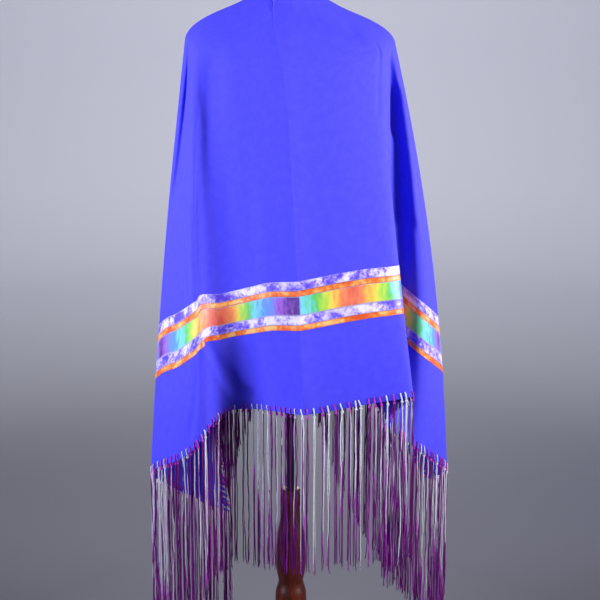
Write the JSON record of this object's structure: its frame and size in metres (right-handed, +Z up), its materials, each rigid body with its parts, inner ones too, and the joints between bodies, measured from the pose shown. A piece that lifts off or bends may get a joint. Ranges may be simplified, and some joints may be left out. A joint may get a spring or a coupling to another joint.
{
  "type": "fringed dance shawl on a dress form stand",
  "caption": "Blue fringed dance shawl with a band of satin ribbons, draped over a dress form on a turned wooden stand.",
  "frame": {"origin": "on the floor, at the middle of the underside of the stand's round base", "axes": "+Z up along the stand's post; the back of the shawl, as in the picture, faces -Y; +X to the right of somebody looking at that back"},
  "size_m": [0.6468, 0.3762, 1.5995],
  "materials": {
    "royal_gabardine": "smooth matt weave",
    "orange_ribbon": "satin",
    "lilac_ribbon": "satin",
    "rainbow_ribbon": "satin with a watery gradient",
    "rayon_yarn": "silky twisted yarn, purple and white",
    "black_jersey": "matt knit",
    "mahogany": "varnished",
    "black_enamel": "semi-gloss",
    "brass": "polished"
  },
  "bodies": {
    "root": {"shawl_cloth": "royal_gabardine", "ribbon_orange_lower": "orange_ribbon", "ribbon_lilac_lower": "lilac_ribbon", "ribbon_rainbow": "rainbow_ribbon", "ribbon_orange_upper": "orange_ribbon", "ribbon_lilac_upper": "lilac_ribbon", "fringe_hem": "rayon_yarn", "fringe_left_edge": "rayon_yarn", "fringe_right_edge": "rayon_yarn", "form_torso": "black_jersey", "form_neck_cap": "mahogany", "stand_pole": "black_enamel", "stand_collar": "brass", "stand_post": "mahogany", "stand_base": "mahogany"}
  },
  "joints": []
}
